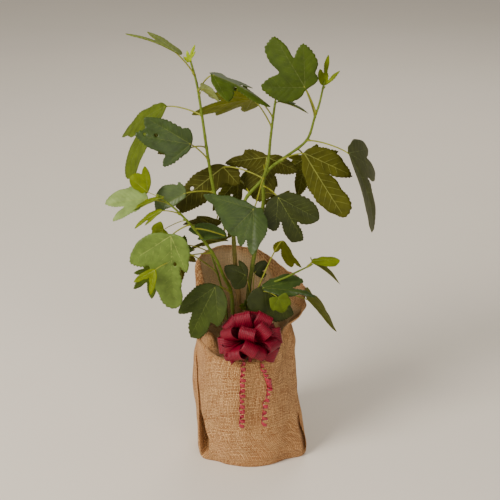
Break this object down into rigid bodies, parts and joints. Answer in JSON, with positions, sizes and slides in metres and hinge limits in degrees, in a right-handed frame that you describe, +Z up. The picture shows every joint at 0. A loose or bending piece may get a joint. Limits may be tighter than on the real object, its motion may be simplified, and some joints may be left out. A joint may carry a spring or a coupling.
{
  "type": "potted fig sapling in a hessian sack with a bow",
  "caption": "Young fig with several stems and large lobed leaves, its root ball in a hessian sack tied with a curled ribbon bow.",
  "frame": {"origin": "middle of the sack's flat underside, on the surface that it stands on", "axes": "+Z up along the stems, -Y towards the bow at the front, +X to the right as seen from the front"},
  "size_m": [0.4341, 0.2422, 0.7215],
  "materials": {
    "hessian": "coarse woven",
    "compost": "crumbly",
    "ribbon": "satin",
    "bark": "matte",
    "green_stem": "matte",
    "leaf": "satin"
  },
  "bodies": {
    "root": {"hessian_sack": "hessian", "root_ball": "compost", "bow": "ribbon", "ribbon_tail_left": "ribbon", "ribbon_tail_right": "ribbon", "trunk": "bark", "bough_left": "green_stem", "bough_right": "green_stem", "stem_centre": "bark", "stem_low_left": "green_stem", "stem_low_right": "green_stem", "stem_slender": "green_stem", "foliage_left": "leaf", "foliage_right": "leaf", "foliage_centre": "leaf", "foliage_low_left": "leaf", "foliage_low_right": "leaf", "foliage_slender": "leaf", "foliage_front_left": "leaf", "foliage_foot_left": "leaf"}
  },
  "joints": []
}
